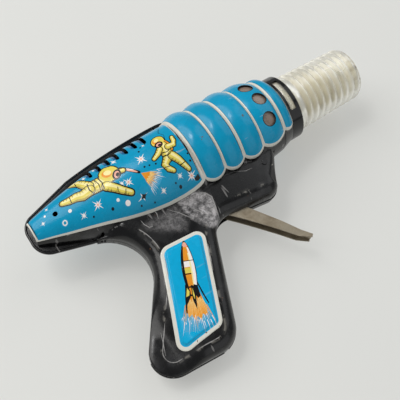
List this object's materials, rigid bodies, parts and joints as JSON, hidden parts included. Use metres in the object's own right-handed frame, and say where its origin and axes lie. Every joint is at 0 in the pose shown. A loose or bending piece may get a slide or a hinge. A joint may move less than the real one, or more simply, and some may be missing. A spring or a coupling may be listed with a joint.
{
  "type": "toy ray gun",
  "caption": "Tin space toy pistol with a ribbed barrel, clear ribbed muzzle tube, sprung trigger and a geared spark wheel inside two pressed shells.",
  "frame": {"origin": "middle of the gun's footprint as it lies on its left side, at the height of the lowest rib crest", "axes": "+X along the barrel towards the muzzle, +Y towards the top of the gun, +Z out of its right side"},
  "size_m": [0.2088, 0.1267, 0.053],
  "materials": {
    "printed_tin": "printed tinplate, blue and black with off-white lines, glossy and scuffed",
    "black_tin": "glossy black enamel on tinplate, worn at the edges",
    "clear_plastic": "clear moulded plastic, aged to ivory",
    "window_film": "thin red-brown film",
    "plain_steel": "plain pressed steel",
    "trigger_steel": "dull plated steel, tarnished",
    "spring_steel": "spring wire",
    "brass": "stamped brass",
    "cast_zinc": "heavy turned disc",
    "abrasive": "grey grit bonded on a rim",
    "flint": "dark ferrocerium"
  },
  "bodies": {
    "housing": {"right_shell": "printed_tin", "left_shell": "printed_tin", "muzzle_collar": "black_tin", "muzzle_tube": "clear_plastic", "window_film_right": "window_film", "window_film_left": "window_film", "frame_plate_right": "plain_steel", "frame_plate_left": "plain_steel", "frame_pillars": "plain_steel", "cross_rivet": "plain_steel", "trigger_pin": "plain_steel", "trigger_spring": "spring_steel", "wheel_bushes": "brass", "flint": "flint", "flint_holder": "brass", "flint_spring": "spring_steel"},
    "trigger": {"trigger": "trigger_steel", "sector_gear": "brass", "sector_rivets": "plain_steel"},
    "drive_train": {"drive_shaft": "plain_steel", "drive_pinion": "brass", "drive_gear": "brass", "ratchet_wheel": "plain_steel", "pawl": "plain_steel", "pawl_rivet": "brass"},
    "spark_train": {"wheel_shaft": "plain_steel", "wheel_pinion": "brass", "flywheel": "cast_zinc", "spark_wheel_hub": "plain_steel", "spark_ring": "abrasive"}
  },
  "joints": [
    {"name": "trigger_pull", "type": "hinge", "parent": "housing", "child": "trigger", "pos_m": [-0.0134, 0.0096, 0.0265], "axis": [0, 0, -1], "range_deg": [0, 20], "stiffness_Nm_per_rad": 0.06, "springref_deg": -14.32, "deforming": ["trigger_spring"]},
    {"name": "drive_spin", "type": "hinge", "parent": "housing", "child": "drive_train", "pos_m": [0.0016, 0.03558, 0.0265], "axis": [0, 0, -1], "range_deg": [-80, 0]},
    {"name": "spark_spin", "type": "hinge", "parent": "housing", "child": "spark_train", "pos_m": [0.0208, 0.03558, 0.0265], "axis": [0, 0, -1], "range_deg": [0, 240]}
  ],
  "couplings": [
    {"joint": "drive_spin", "follows": "trigger_pull", "ratio": -4},
    {"joint": "spark_spin", "follows": "trigger_pull", "ratio": 12}
  ]
}
